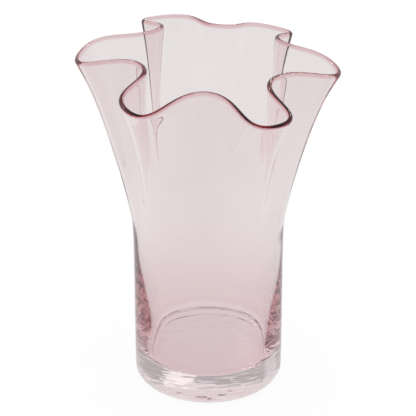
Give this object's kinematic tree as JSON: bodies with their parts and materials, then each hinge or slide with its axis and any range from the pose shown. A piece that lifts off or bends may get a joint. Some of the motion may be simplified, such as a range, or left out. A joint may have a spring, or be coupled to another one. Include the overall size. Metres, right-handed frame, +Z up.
{
  "type": "ruffled glass vase",
  "caption": "Blown pink glass vase with a round body, thick clear heel and a wide ruffled, flaring rim, for cut flowers.",
  "frame": {"origin": "centre of the flat underside of the round heel", "axes": "+Z up along the axis of the round body, -Y towards the viewer's side, +X to the viewer's right"},
  "size_m": [0.1917, 0.1831, 0.2606],
  "materials": {
    "pink_glass": "clear polished blown glass, pale pink above a colourless heel, deeper mauve pink along the fire-polished lip"
  },
  "bodies": {
    "root": {"vase": "pink_glass"}
  },
  "joints": []
}
